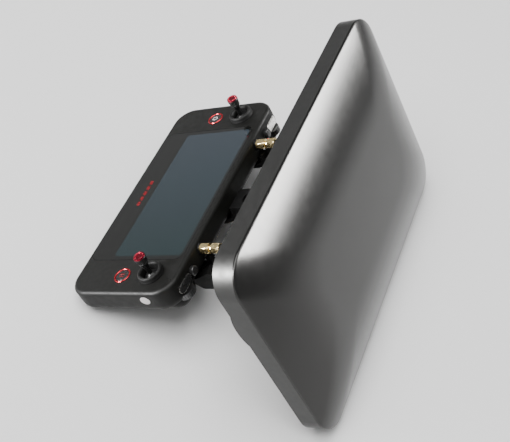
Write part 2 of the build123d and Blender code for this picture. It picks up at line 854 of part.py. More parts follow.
washer = side_arm[0] - lug[1] - 0.2
with BuildPart() as friction_washers:
    for low in (lug[1] + 0.2, -lug[1] - 0.2 - washer):
        with BuildSketch(across(low)):
            with Locations((hinge_y, hinge_z)):
                Circle(7)
                Circle(rod_radius + running, mode=Mode.SUBTRACT)
        extrude(amount=washer)
keep(friction_washers, "friction_washers")

cover_back_y = panel_back_y - cover_thickness
with BuildPart() as panel_bracket:
    with BuildSketch(facing_away(0, cover_back_y - 3, hinge_z)):
        RectangleRounded(2 * lug[1] + 18, 52, 5)
        Rectangle(84, 28, mode=Mode.SUBTRACT)
    extrude(amount=3)
    for low in (lug[0], -lug[1]):
        with BuildSketch(across(low)):
            with Locations((hinge_y, hinge_z)):
                Circle(eye_radius)
            with Locations(((hinge_y + cover_back_y - 3) / 2, hinge_z)):
                Rectangle(cover_back_y - 3 - hinge_y, 2 * eye_radius)
            with Locations((hinge_y, hinge_z)):
                Circle(rod_radius + running, mode=Mode.SUBTRACT)
        extrude(amount=lug[1] - lug[0])
keep(panel_bracket, "panel_bracket")

with BuildPart() as bracket_screws:
    screw_plane = facing_away(0, cover_back_y - 5.2, hinge_z)
    with BuildSketch(screw_plane):
        with GridLocations(104, 40, 2, 2):
            Circle(3.4)
    extrude(amount=2.2)
    with BuildSketch(screw_plane):
        with GridLocations(104, 40, 2, 2):
            RegularPolygon(1.4, 6)
    extrude(amount=1.3, mode=Mode.SUBTRACT)
keep(bracket_screws, "panel_screws")


# ---- antenna panel ----
def panel_sketch(inset, radius):
    RectangleRounded(panel_length - 2 * inset, panel_height - 2 * inset, radius)


ear_chord = 27.6
ear_rise = 2.1
ear_radius = ((ear_chord / 2) ** 2 + ear_rise**2) / (2 * ear_rise)
ear_z = 1.2

with BuildPart() as panel_frame:
    with BuildSketch(facing_away(0, panel_back_y, panel_z)):
        panel_sketch(0, panel_radius)
        panel_sketch(rim_wall, panel_radius - rim_wall)
    extrude(amount=rim_depth)
    with BuildSketch(facing_away(0, panel_back_y, panel_z)):
        panel_sketch(rim_wall, panel_radius - rim_wall)
    extrude(amount=rim_depth, mode=Mode.SUBTRACT)
    # inner ledge that carries the reflector
    with BuildSketch(facing_away(0, panel_back_y + 4, panel_z)):
        panel_sketch(rim_wall, panel_radius - rim_wall)
        panel_sketch(rim_wall + 4, panel_radius - rim_wall - 4)
    extrude(amount=2)
    with BuildSketch(facing_away(0, panel_back_y + 4, panel_z)):
        panel_sketch(rim_wall + 4, panel_radius - rim_wall - 4)
    extrude(amount=2, mode=Mode.SUBTRACT)
    # low arched ear on each end, behind the rim
    for low in (-panel_length / 2, panel_length / 2 - 1.4):
        with BuildSketch(across(low)):
            with Locations((panel_back_y - ear_rise + ear_radius, ear_z)):
                Circle(ear_radius)
            with Locations((panel_back_y + ear_radius, ear_z)):
                Rectangle(2 * ear_radius, 4 * ear_radius, mode=Mode.SUBTRACT)
        extrude(amount=1.4)
keep(panel_frame, "panel_frame")

with BuildPart() as ear_pads:
    for low in (-panel_length / 2, panel_length / 2 - 1.4):
        with BuildSketch(across(low)):
            with Locations((panel_back_y - ear_rise + ear_radius - 0.7, ear_z)):
                Circle(ear_radius)
            with Locations((panel_back_y - ear_rise + ear_radius, ear_z)):
                Circle(ear_radius, mode=Mode.SUBTRACT)
            with Locations((panel_back_y - 0.3 + ear_radius, ear_z)):
                Rectangle(2 * ear_radius, 4 * ear_radius, mode=Mode.SUBTRACT)
        extrude(amount=1.4)
keep(ear_pads, "ear_pads")

with BuildPart() as rear_cover:
    with BuildSketch(facing_away(0, cover_back_y, panel_z)):
        panel_sketch(1.5, panel_radius - 1.5)
        with Locations((-panel_jack_x, panel_z - panel_jack_z), (panel_jack_x, panel_z - panel_jack_z)):
            Circle(3.2, mode=Mode.SUBTRACT)
    extrude(amount=cover_thickness)
keep(rear_cover, "rear_cover")

with BuildPart() as cover_screws:
    cover_plane = facing_away(0, cover_back_y - 1.2, panel_z)
    with BuildSketch(cover_plane):
        with GridLocations(panel_length - 22, panel_height - 22, 2, 2):
            Circle(2.4)
        with GridLocations(90, panel_height - 14, 2, 2):
            Circle(2.4)
    extrude(amount=1.2)
    with BuildSketch(cover_plane):
        with GridLocations(panel_length - 22, panel_height - 22, 2, 2):
            RegularPolygon(1.0, 6)
        with GridLocations(90, panel_height - 14, 2, 2):
            RegularPolygon(1.0, 6)
    extrude(amount=0.8, mode=Mode.SUBTRACT)
keep(cover_screws, "panel_screws")

with BuildPart() as gasket:
    with BuildSketch(facing_away(0, rim_front_y, panel_z)):
        panel_sketch(0.5, panel_radius - 0.5)
        RectangleRounded(
            panel_length - 2 * rim_wall, panel_height - 2 * rim_wall, panel_radius - rim_wall, mode=Mode.SUBTRACT
        )
    extrude(amount=gasket_thickness)
keep(gasket, "gasket")


def pillow(inset, back, height):
    """Pillow-shaped block: rounded rectangles that close in as the surface rises."""
    levels = (0.0, 0.22, 0.45, 0.66, 0.83, 0.94, 1.0)
    with BuildPart() as block:
        for level in levels:
            closing = dome_slope * (1 - (1 - level) ** (1 / dome_power))
            with BuildSketch(facing_away(0, back + level * height, panel_z)):
                panel_sketch(inset + closing, panel_radius - inset + 0.05 * closing)
        loft()
    return block.part


skirt = 1.2
outer_pillow = pillow(0, radome_back_y + skirt, dome_height - gasket_thickness - skirt)
inner_pillow = pillow(radome_wall, radome_back_y + skirt, dome_height - gasket_thickness - skirt - radome_wall)
with BuildPart() as radome:
    add(outer_pillow)
    with BuildSketch(facing_away(0, radome_back_y, panel_z)):
        panel_sketch(0, panel_radius)
    extrude(amount=skirt)
    add(inner_pillow, mode=Mode.SUBTRACT)
    with BuildSketch(facing_away(0, radome_back_y, panel_z)):
        panel_sketch(radome_wall, panel_radius - radome_wall)
    extrude(amount=skirt, mode=Mode.SUBTRACT)
keep(radome, "radome")

with BuildPart() as reflector_plate:
    with BuildSketch(facing_away(0, panel_back_y + 6, panel_z)):
        panel_sketch(rim_wall + 0.4, panel_radius - rim_wall - 0.4)
    extrude(amount=1.5)
keep(reflector_plate, "reflector_plate")

post_y = panel_back_y + 7.5
with BuildPart() as patch_posts:
    with BuildSketch(facing_away(0, post_y, panel_z)):
        with Locations((-66, 0), (66, 0)):
            with GridLocations(90, 90, 2, 2):
                Circle(2.5)
    extrude(amount=6)
keep(patch_posts, "patch_posts")

with BuildPart() as patch_boards:
    with BuildSketch(facing_away(0, post_y + 6, panel_z)):
        with Locations((-66, 0), (66, 0)):
            RectangleRounded(112, 112, 3)
    extrude(amount=1.6)
keep(patch_boards, "patch_boards")

stick_set(-1)
stick_set(1)
face_button(-1, "home")
face_button(1, "pause")
shoulder_set(-1)
shoulder_set(1)
connector_set(-1)
connector_set(1)

# ---- stance: the hand ridges and the panel's bottom edge touch the table together ----
ridge_arc_y = ridge_low_y + ridge_radius
ridge_arc_z = -ridge_depth + ridge_radius
reach_y = panel_back_y - ridge_arc_y
reach_z = ridge_arc_z - panel_bottom_z
stance_tilt = degrees(atan2(reach_z, reach_y) - asin(ridge_radius / hypot(reach_y, reach_z)))

tilt = Location((0, 0, 0), (stance_tilt, 0, 0))
solids = {name: [solid for part in parts for solid in part.solids()] for name, parts in groups.items()}
boxes = [solid.moved(tilt).bounding_box() for name in solids for solid in solids[name]]
middle_x = (min(box.min.X for box in boxes) + max(box.max.X for box in boxes)) / 2
middle_y = (min(box.min.Y for box in boxes) + max(box.max.Y for box in boxes)) / 2
lowest = min(box.min.Z for box in boxes)
stance = Location((-middle_x, -middle_y, -lowest)) * tilt
print("stance", stance_tilt, middle_x, middle_y, lowest)

os.makedirs("parts", exist_ok=True)
for name in solids:
    placed = Compound([solid.moved(stance) for solid in solids[name]])
    placed.label = name
    export_step(placed, f"parts/{name}.step")
print(len(solids), "nodes")
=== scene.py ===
"""Looks for the remote controller with a panel antenna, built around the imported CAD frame.

Everything is described in the controller's own frame, in millimetres: origin at the centre of its
face, +X to the user's right, +Y away from the user, +Z out of the face. CASE carries that frame
to the row frame, and is worked out from the part's joints.
"""

import json
from math import cos, pi, radians, sin

import bmesh
import bpy
from mathutils import Matrix, Vector


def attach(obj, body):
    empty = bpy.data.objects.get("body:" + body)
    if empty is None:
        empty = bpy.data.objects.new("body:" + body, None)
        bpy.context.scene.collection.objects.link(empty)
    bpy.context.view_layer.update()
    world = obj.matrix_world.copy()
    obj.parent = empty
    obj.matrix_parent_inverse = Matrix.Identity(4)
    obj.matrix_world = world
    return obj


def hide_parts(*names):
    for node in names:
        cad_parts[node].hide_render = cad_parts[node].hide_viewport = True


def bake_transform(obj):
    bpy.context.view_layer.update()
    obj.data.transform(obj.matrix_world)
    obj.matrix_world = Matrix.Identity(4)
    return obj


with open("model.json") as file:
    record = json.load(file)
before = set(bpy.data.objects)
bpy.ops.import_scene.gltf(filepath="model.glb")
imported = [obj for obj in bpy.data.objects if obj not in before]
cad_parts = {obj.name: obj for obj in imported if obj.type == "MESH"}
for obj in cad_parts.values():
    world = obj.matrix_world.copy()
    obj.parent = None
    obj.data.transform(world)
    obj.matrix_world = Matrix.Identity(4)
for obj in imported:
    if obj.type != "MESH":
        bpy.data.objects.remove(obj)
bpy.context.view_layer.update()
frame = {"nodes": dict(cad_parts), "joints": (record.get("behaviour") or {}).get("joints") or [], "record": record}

MM = 0.001
BODY = "controller"
PANEL = "panel"

# places and sizes shared with the CAD source, in millimetres
STICK_X, STICK_Y, PIVOT_Z = 93.0, 25.6, -5.0
BUTTON_X, BUTTON_Y = 94.0, -3.2
CASE_TOP = 51.6
JACK_X, JACK_Z = 60.3, -7.0
PANEL_JACK_X, PANEL_JACK_Z = 47.0, -80.0
PANEL_LENGTH, PANEL_TOP, PANEL_BOTTOM = 292.0, 55.8, -127.6
PANEL_BACK, RIM_DEPTH, PANEL_RADIUS = 131.57, 14.8, 24.0
GASKET, DOME_HEIGHT, DOME_SLOPE, DOME_POWER, SKIRT = 0.4, 17.0, 62.0, 2.2, 1.2
COVER_BACK = PANEL_BACK - 1.6
THREAD_RADIUS = 3.17
SCREEN_X, SCREEN_LOW, SCREEN_HIGH = 73.45, -23.6, 43.45

# detail of the visible sticks: the knob's fluted stretch, its flutes, and the notches of its rim
GRIP_LOW, GRIP_HIGH, NOTCH_LOW = 14.0, 18.6, 19.9
FLUTES, NOTCHES = 22, 16
BOOT_OUTER, BOOT_INNER = 7.42, 6.95


# ---------------------------------------------------------------- the controller's frame
def case_frame():
    """The controller's frame as a matrix: millimetres of the case to metres of the row."""
    joints = {j["name"]: j for j in frame["joints"]}
    right = Vector(joints["right_yoke_tilt"]["pos_m"])
    left = Vector(joints["left_yoke_tilt"]["pos_m"])
    across = (right - left).normalized()
    away = Vector(joints["right_stick_tilt"]["axis"]).normalized()
    out = -Vector(joints["home_button_press"]["axis"]).normalized()
    origin = (right + left) / 2 - away * STICK_Y * MM - out * PIVOT_Z * MM
    turn = Matrix((across, away, out)).transposed().to_4x4()
    return Matrix.Translation(origin) @ turn @ Matrix.Scale(MM, 4)


CASE = case_frame()


def at(x, y, z):
    """A point of the controller's frame, in the row frame."""
    return CASE @ Vector((x, y, z))


# ---------------------------------------------------------------- materials
class Surface:
    """A node material built around one Principled shader, textured in object space."""

    def __init__(self, name, color, rough, metal=0.0, **sockets):
        self.mat = bpy.data.materials.new(name)
        self.mat.use_nodes = True
        self.tree = self.mat.node_tree
        self.bsdf = self.tree.nodes["Principled BSDF"]
        self.color = color
        self.put("Base Color", (*color, 1.0))
        self.put("Roughness", rough)
        self.put("Metallic", metal)
        for key, value in sockets.items():
            self.put(key.replace("_", " "), value)
        self.coords = self.tree.nodes.new("ShaderNodeTexCoord").outputs["Object"]

    def put(self, socket, value):
        """Uniform value on one socket of the shader."""
        self.bsdf.inputs[socket].default_value = value

    def node(self, kind, **settings):
        """New node with its settings."""
        made = self.tree.nodes.new(kind)
        for key, value in settings.items():
            setattr(made, key, value)
        return made

    def link(self, output, target):
        self.tree.links.new(output, target)

    def noise(self, size_mm, detail=3.0, stretch=None):
        """Noise whose features are about size_mm across; stretch lengthens them along one axis."""
        source = self.coords
        if stretch:
            mapping = self.node("ShaderNodeMapping")
            mapping.inputs["Scale"].default_value = stretch
            self.link(source, mapping.inputs["Vector"])
            source = mapping.outputs["Vector"]
        made = self.node("ShaderNodeTexNoise")
        made.inputs["Scale"].default_value = 1 / (size_mm * MM)
        made.inputs["Detail"].default_value = detail
        self.link(source, made.inputs["Vector"])
        return made.outputs["Fac"]

    def spread(self, value, low, high, start=0.3, end=0.7):
        """The value, mapped from start..end to low..high."""
        made = self.node("ShaderNodeMapRange")
        for key, limit in (("From Min", start), ("From Max", end), ("To Min", low), ("To Max", high)):
            made.inputs[key].default_value = limit
        self.link(value, made.inputs["Value"])
        return made.outputs["Result"]

    def mottle(self, size_mm, amount):
        """Slow change of the base colour, lighter and darker by the given share."""
        ramp = self.node("ShaderNodeValToRGB")
        ramp.color_ramp.elements[0].position = 0.3
        ramp.color_ramp.elements[1].position = 0.7
        ramp.color_ramp.elements[0].color = (*[c * (1 - amount) for c in self.color], 1)
        ramp.color_ramp.elements[1].color = (*[min(1, c * (1 + amount)) for c in self.color], 1)
        self.link(self.noise(size_mm), ramp.inputs["Fac"])
        self.link(ramp.outputs["Color"], self.bsdf.inputs["Base Color"])
        return self

    def roughen(self, size_mm, low, high, stretch=None):
        """Slow change of the roughness between two values."""
        pattern = self.noise(size_mm, stretch=stretch)
        self.link(self.spread(pattern, low, high), self.bsdf.inputs["Roughness"])
        return self

    def grain(self, size_mm, depth_mm, strength):
        """Fine bumps of the surface."""
        bump = self.node("ShaderNodeBump")
        bump.inputs["Strength"].default_value = strength
        bump.inputs["Distance"].default_value = depth_mm * MM
        self.link(self.noise(size_mm, detail=4), bump.inputs["Height"])
        self.link(bump.outputs["Normal"], self.bsdf.inputs["Normal"])
        return self


def case_coordinates(surface):
    """Outputs x and y of the controller's frame, in millimetres, as texture values."""
    back = CASE.inverted()
    mapping = surface.node("ShaderNodeMapping")
    mapping.inputs["Scale"].default_value = (1 / MM,) * 3
    mapping.inputs["Rotation"].default_value = back.to_euler()
    mapping.inputs["Location"].default_value = back.to_translation()
    surface.link(surface.coords, mapping.inputs["Vector"])
    parts = surface.node("ShaderNodeSeparateXYZ")
    surface.link(mapping.outputs["Vector"], parts.inputs["Vector"])
    return parts.outputs["X"], parts.outputs["Y"]


def maths(surface, operation, first, second=None):
    """One Math node; each operand is a number or an output."""
    made = surface.node("ShaderNodeMath", operation=operation)
    for socket, value in zip(made.inputs, (first, second)):
        if isinstance(value, (int, float)):
            socket.default_value = value
        elif value is not None:
            surface.link(value, socket)
    return made.outputs["Value"]


def screen_glass():
    """Black-bordered cover glass. The dark display shows through it as a cool blue-green field, with a painted
    sheen that makes it lighter towards the user's left and darker towards the right.
    """
    made = Surface("screen_glass", (0.007, 0.0074, 0.007), 0.09, Coat_Weight=0.5, Coat_Roughness=0.03)
    x, y = case_coordinates(made)
    middle, half = (SCREEN_LOW + SCREEN_HIGH) / 2, (SCREEN_HIGH - SCREEN_LOW) / 2
    corner, blur = 3.0, 0.25
    off_x = maths(made, "SUBTRACT", maths(made, "ABSOLUTE", x), SCREEN_X - corner)
    from_middle = maths(made, "ABSOLUTE", maths(made, "SUBTRACT", y, middle))
    off_y = maths(made, "SUBTRACT", from_middle, half - corner)
    off_x = maths(made, "MAXIMUM", off_x, 0.0)
    off_y = maths(made, "MAXIMUM", off_y, 0.0)
    squared_x = maths(made, "MULTIPLY", off_x, off_x)
    squared_y = maths(made, "MULTIPLY", off_y, off_y)
    squares = maths(made, "ADD", squared_x, squared_y)
    inside = made.spread(maths(made, "SQRT", squares), 1.0, 0.0, corner - blur, corner + blur)
    # painted sheen: the display field runs from a lighter blue-green at the user's left to a darker one at the
    # right
    ramp = made.node("ShaderNodeValToRGB")
    ramp.color_ramp.elements[0].color = (0.026, 0.036, 0.047, 1)
    ramp.color_ramp.elements[1].color = (0.011, 0.023, 0.026, 1)
    made.link(made.spread(x, 0.0, 1.0, -SCREEN_X, SCREEN_X), ramp.inputs["Fac"])
    blend = made.node("ShaderNodeMix", data_type="RGBA")
    blend.inputs["A"].default_value = (0.007, 0.0074, 0.007, 1)
    made.link(inside, blend.inputs["Factor"])
    made.link(ramp.outputs["Color"], blend.inputs["B"])
    made.link(blend.outputs["Result"], made.bsdf.inputs["Base Color"])
    made.link(made.spread(made.noise(30), 0.07, 0.13), made.bsdf.inputs["Roughness"])
    return made.mat


def make_materials():
    """One procedural material for each slot of the record."""
    black = (0.026, 0.026, 0.025)
    brushed = (12.0, 1.0, 1.0)
    made = {
        "case_plastic": Surface("case_plastic", (0.0060, 0.0061, 0.0053), 0.5, Specular_IOR_Level=0.17)
        .mottle(14, 0.10).roughen(5, 0.42, 0.56).grain(0.35, 0.035, 0.6),
        "soft_pad": Surface("soft_pad", black, 0.8).mottle(6, 0.12).grain(0.8, 0.06, 0.8),
        "mid_metal": Surface("mid_metal", (0.6, 0.6, 0.62), 0.35, 1.0).mottle(8, 0.06)
        .grain(0.6, 0.02, 0.4),
        "board_green": Surface("board_green", (0.02, 0.10, 0.045), 0.4).mottle(3, 0.25)
        .grain(1.4, 0.05, 0.6),
        "battery_wrap": Surface("battery_wrap", (0.05, 0.05, 0.055), 0.35).mottle(9, 0.1)
        .grain(3, 0.05, 0.3),
        "speaker_black": Surface("speaker_black", black, 0.6).mottle(3, 0.1).grain(0.5, 0.05, 0.6),
        "display": Surface("display", (0.03, 0.045, 0.05), 0.2).mottle(20, 0.1).grain(2, 0.01, 0.2),
        "port_steel": Surface("port_steel", (0.11, 0.11, 0.11), 0.34, 1.0).mottle(2, 0.15)
        .roughen(1.5, 0.26, 0.42).grain(0.3, 0.02, 0.4),
        "collar_rubber": Surface("collar_rubber", (0.0065, 0.0065, 0.0062), 0.6, Specular_IOR_Level=0.18)
        .mottle(4, 0.15).roughen(2, 0.55, 0.70).grain(0.4, 0.04, 0.5),
        "gimbal_metal": Surface("gimbal_metal", (0.10, 0.10, 0.10), 0.45, 0.6).mottle(4, 0.1)
        .grain(0.5, 0.03, 0.5),
        "stick_steel": Surface("stick_steel", (0.30, 0.30, 0.31), 0.3, 1.0).mottle(3, 0.08)
        .roughen(1.0, 0.22, 0.4, brushed).grain(0.3, 0.01, 0.4),
        "stick_black": Surface("stick_black", (0.007, 0.007, 0.007), 0.34, 0.1, Specular_IOR_Level=0.35)
        .mottle(2, 0.15).roughen(1.2, 0.26, 0.42).grain(0.25, 0.015, 0.5),
        "red_crown": Surface("red_crown", (0.26, 0.012, 0.030), 0.2, 0.95).mottle(2, 0.18)
        .roughen(1.0, 0.16, 0.3).grain(0.25, 0.01, 0.4),
        "red_ring": Surface("red_ring", (0.46, 0.020, 0.030), 0.24, 0.8).mottle(3, 0.18)
        .roughen(0.8, 0.16, 0.32).grain(0.2, 0.01, 0.4),
        "button_black": Surface("button_black", (0.016, 0.016, 0.016), 0.3).mottle(3, 0.12)
        .roughen(1.5, 0.24, 0.36).grain(0.3, 0.012, 0.4),
        "chrome_trim": Surface("chrome_trim", (0.80, 0.79, 0.76), 0.26, 1.0).mottle(4, 0.05)
        .roughen(2.0, 0.22, 0.34).grain(0.5, 0.006, 0.3),
        "brass_gold": Surface("brass_gold", (0.86, 0.69, 0.36), 0.2, 1.0).mottle(2, 0.10)
        .roughen(1.0, 0.14, 0.3).grain(0.3, 0.01, 0.4),
        "cable_black": Surface("cable_black", (0.009, 0.009, 0.009), 0.45, Specular_IOR_Level=0.35)
        .mottle(3, 0.12).roughen(2, 0.38, 0.55).grain(0.5, 0.03, 0.5),
        "arm_black": Surface("arm_black", (0.004, 0.004, 0.004), 0.5, 0.0, Specular_IOR_Level=0.12)
        .mottle(6, 0.12).roughen(3, 0.42, 0.6).grain(0.5, 0.04, 0.6),
        "screw_steel": Surface("screw_steel", (0.05, 0.05, 0.052), 0.35, 0.8).mottle(1.5, 0.1)
        .grain(0.3, 0.01, 0.4),
        "dot_white": Surface("dot_white", (0.80, 0.76, 0.76), 0.5).mottle(1.5, 0.06).grain(0.5, 0.02, 0.4),
        "panel_grey": Surface("panel_grey", (0.042, 0.0415, 0.0405), 0.25, 0.9).mottle(40, 0.03)
        .roughen(6, 0.24, 0.265).grain(1.2, 0.008, 0.08),
        "panel_dark": Surface("panel_dark", (0.042, 0.042, 0.041), 0.34, 0.8).mottle(30, 0.05)
        .roughen(5, 0.38, 0.46).grain(0.4, 0.02, 0.4),
        "reflector": Surface("reflector", (0.6, 0.6, 0.6), 0.35, 1.0).mottle(20, 0.05).grain(1, 0.01, 0.3),
    }
    found = {name: surface.mat for name, surface in made.items()}
    found["screen_glass"] = screen_glass()
    return found


MATERIALS = make_materials()


def dress_cad_nodes():
    """Give each carried-over CAD node the material of its slot."""
    slots = {s["node"]: s["material_slot"] for s in frame["record"]["subparts"]}
    for name, obj in frame["nodes"].items():
        obj.data.materials.clear()
        obj.data.materials.append(MATERIALS[slots[name]])


# ---------------------------------------------------------------- mesh helpers
def finish_piece(name, bm, slot, body, replaces=(), smooth_angle=35.0):
    """Turn a mesh built in the controller's frame into a piece that rides on a body."""
    bmesh.ops.remove_doubles(bm, verts=bm.verts, dist=1e-4)
    bmesh.ops.recalc_face_normals(bm, faces=bm.faces)
    bmesh.ops.transform(bm, matrix=CASE, verts=bm.verts)
    mesh = bpy.data.meshes.new(name)
    bm.to_mesh(mesh)
    bm.free()
    for face in mesh.polygons:
        face.use_smooth = True
    mesh.set_sharp_from_angle(angle=radians(smooth_angle))
    mesh.materials.append(MATERIALS[slot])
    obj = bpy.data.objects.new(name, mesh)
    bpy.context.scene.collection.objects.link(obj)
    if replaces:
        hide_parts(*replaces)
    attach(obj, body)


def add_rings(bm, rings, close_start=True, close_end=True):
    """Skin a list of equally long point rings, with flat ends."""
    loops = [[bm.verts.new(p) for p in ring] for ring in rings]
    count = len(loops[0])
    for low, high in zip(loops, loops[1:]):
        for k in range(count):
            n = (k + 1) % count
            bm.faces.new((low[k], low[n], high[n], high[k]))
    if close_start:
        bm.faces.new(loops[0])
    if close_end:
        bm.faces.new(loops[-1])


def lathe(bm, centre, axis, profile, segments, flutes=None):
    """Turn (radius, height) pairs about an axis through centre; flutes(angle, height) trims the radius."""
    axis = Vector(axis).normalized()
    side = axis.orthogonal().normalized()
    other = axis.cross(side)
    rings = []
    for radius, height in profile:
        ring = []
        for k in range(segments):
            angle = 2 * pi * k / segments
            r = max(radius - (flutes(angle, height) if flutes else 0.0), 0.01)
            ring.append(Vector(centre) + axis * height + side * (r * cos(angle)) + other * (r * sin(angle)))
        rings.append(ring)
    add_rings(bm, rings)


def hexagon(bm, centre, axis, flat, low, high, chamfer):
    """Hexagonal nut body, across-flats size flat, with its corners turned down at both ends."""
    axis = Vector(axis).normalized()
    side = axis.orthogonal().normalized()
    other = axis.cross(side)
    inner = flat / 2
    rings = []
    steps = 72
    start, end = low + chamfer, high - chamfer
    for height, cap in ((low, inner), (low + 0.001, inner), (start, None), (end, None), (high, inner)):
        ring = []
        for k in range(steps):
            angle = 2 * pi * k / steps
            wedge = (angle % (pi / 3)) - pi / 6
            edge = inner / cos(wedge)
            r = min(edge, cap) if cap else edge
            ring.append(Vector(centre) + axis * height + side * (r * cos(angle)) + other * (r * sin(angle)))
        rings.append(ring)
    add_rings(bm, rings)


def thread(start, end, radius=THREAD_RADIUS, pitch=0.64, depth=0.28):
    """Profile points of a threaded stretch, as close rings."""
    turns = int((end - start) / pitch)
    points = []
    for k in range(turns):
        low = start + k * pitch
        points += [(radius - depth, low), (radius, low + pitch * 0.35), (radius, low + pitch * 0.6)]
    return points + [(radius - depth, start + turns * pitch), (radius - depth, end)]


def rounded_outline(half_x, half_z, radius, y, per_corner=16, per_side=24):
    """Points of a rounded rectangle in the panel's plane."""
    radius = max(min(radius, half_x - 0.01, half_z - 0.01), 0.01)
    middle_z = (PANEL_TOP + PANEL_BOTTOM) / 2
    corners = ((1, 1, 0), (-1, 1, 90), (-1, -1, 180), (1, -1, 270))
    points = []
    for index, (sx, sz, start) in enumerate(corners):
        cx, cz = sx * (half_x - radius), sz * (half_z - radius)
        arc = []
        for k in range(per_corner + 1):
            angle = radians(start + 90 * k / per_corner)
            arc.append(Vector((cx + radius * cos(angle), y, middle_z + cz + radius * sin(angle))))
        points += arc
        nx, nz, _ = corners[(index + 1) % 4]
        angle = radians(start + 90)
        end_x = nx * (half_x - radius) + radius * cos(angle)
        end_z = middle_z + nz * (half_z - radius) + radius * sin(angle)
        end = Vector((end_x, y, end_z))
        points += [arc[-1].lerp(end, k / per_side) for k in range(1, per_side)]
    return points


# ---------------------------------------------------------------- panel
def build_dome():
    """The pillow-shaped radome: straight skirt, then rounded rectangles closing in up the curve."""
    bm = bmesh.new()
    half_x, half_z = PANEL_LENGTH / 2, (PANEL_TOP - PANEL_BOTTOM) / 2
    back = PANEL_BACK + RIM_DEPTH + GASKET
    rise = DOME_HEIGHT - GASKET - SKIRT
    rings = [rounded_outline(half_x, half_z, PANEL_RADIUS, back)]
    rings.append(rounded_outline(half_x, half_z, PANEL_RADIUS, back + SKIRT - 0.35))
    levels = 44
    for k in range(levels + 1):
        inset = DOME_SLOPE * k / levels
        height = rise * (1 - (1 - k / levels) ** DOME_POWER)
        if k == 0:
            inset, height = 0.18, 0.02
        radius = PANEL_RADIUS + 0.05 * inset
        rings.append(rounded_outline(half_x - inset, half_z - inset, radius, back + SKIRT + height))
    remaining = half_z - DOME_SLOPE
    for share in (0.3, 0.6, 0.85, 0.999):
        inset = DOME_SLOPE + remaining * share
        radius = (half_z - inset) * 0.9
        rings.append(rounded_outline(half_x - inset, half_z - inset, radius, back + SKIRT + rise))
    add_rings(bm, rings)
    finish_piece("antenna_dome", bm, "panel_grey", PANEL, ["radome"], smooth_angle=50)


# ---------------------------------------------------------------- sticks
def build_stick(side, name):
    """Knob with a fluted grip and its dust boot in one piece, and the notched rim on top."""
    centre = (side * STICK_X, STICK_Y, 0)
    up = (0, 0, 1)
    bm = bmesh.new()

    def flutes(angle, height):
        if not GRIP_LOW < height < GRIP_HIGH:
            return 0.0
        return 0.16 * (1 + cos(angle * FLUTES)) + 0.05 * (1 + sin(height * 2 * pi / 0.9))

    profile = [(1.92, 7.7), (2.35, 8.4), (2.6, 9.4), (2.65, 10.7)]
    profile += [(3.0, 11.6), (3.5, 12.2), (3.95, 12.7), (4.15, 13.4)]
    levels = 24
    for k in range(levels + 1):
        share = k / levels
        profile.append((4.2 + 0.65 * share**1.2, GRIP_LOW + 4.5 * share))
    profile += [(4.85, 18.75), (4.8, 19.0), (4.6, 19.3), (3.15, 19.3)]
    profile += [(3.05, 20.2), (1.2, 20.35), (0.01, 20.1)]
    lathe(bm, centre, up, profile, 176, flutes)
    # dust boot: shallow dome with moulded rings round the shaft
    boot = []
    steps = 33
    for k in range(steps + 1):
        angle = radians(50 - 36 * k / steps)
        r = BOOT_OUTER - 0.14 * (0.5 + 0.5 * cos(2 * pi * k / 5.5))
        boot.append((r * sin(angle), PIVOT_Z + r * cos(angle)))
    boot += [(1.95, 3.9), (1.92, 2.1)]
    for degrees in (20, 30, 40, 50):
        angle = radians(degrees)
        boot.append((BOOT_INNER * sin(angle), PIVOT_Z + BOOT_INNER * cos(angle)))
    lathe(bm, centre, up, boot, 72)
    finish_piece(f"{name}_stick_knob", bm, "stick_black", f"{name}_stick", [f"{name}_stick_head"])

    def notches(angle, height):
        if height < NOTCH_LOW:
            return 0.0
        return 0.42 * max(0.0, cos(angle * NOTCHES)) ** 2

    bm = bmesh.new()
    rim = [(3.18, 19.32), (4.62, 19.32), (4.7, 19.5), (4.7, 20.0), (4.62, 20.5)]
    rim += [(4.35, 20.82), (4.0, 20.9), (3.5, 20.8), (3.25, 20.6), (3.18, 20.4)]
    lathe(bm, centre, up, rim, 192, notches)
    finish_piece(f"{name}_stick_rim", bm, "red_crown", f"{name}_stick", [f"{name}_stick_crown"])


def build_collar(side, name, replaced):
    """Rubbery collar: a flared foot, a rounded lip and a fine parting groove."""
    bm = bmesh.new()
    centre = (side * STICK_X, STICK_Y, 0)
    profile = [(7.27, -2.35), (8.5, -2.35), (8.5, 0.0), (10.7, 0.0), (10.74, 0.3)]
    profile += [(10.72, 1.5), (10.55, 1.75), (10.58, 2.0), (10.4, 2.9)]
    for k in range(13):
        angle = radians(15 + 150 * k / 12)
        profile.append((8.85 + 1.5 * cos(angle), 3.25 + 1.62 * sin(angle)))
    profile += [(7.27, 3.0), (7.27, 0.5), (7.27, -2.3)]
    rings = []
    segments = 96
    for radius, height in profile:
        rings.append([
            Vector((centre[0] + radius * cos(2 * pi * k / segments),
                    centre[1] + radius * sin(2 * pi * k / segments), height))
            for k in range(segments)
        ])
    rings.append(rings[0])
    add_rings(bm, rings, close_start=False, close_end=False)
    finish_piece(f"{name}_collar", bm, "collar_rubber", BODY, replaced)


# ---------------------------------------------------------------- face buttons
def prism(bm, outline, low, high):
    """Upright block of a convex or simple outline, between two heights above the face."""
    bottom = [bm.verts.new((x, y, low)) for x, y in outline]
    top = [bm.verts.new((x, y, high)) for x, y in outline]
    count = len(outline)
    for k in range(count):
        n = (k + 1) % count
        bm.faces.new((bottom[k], bottom[n], top[n], top[k]))
    bm.faces.new(list(reversed(bottom)))
    bm.faces.new(top)


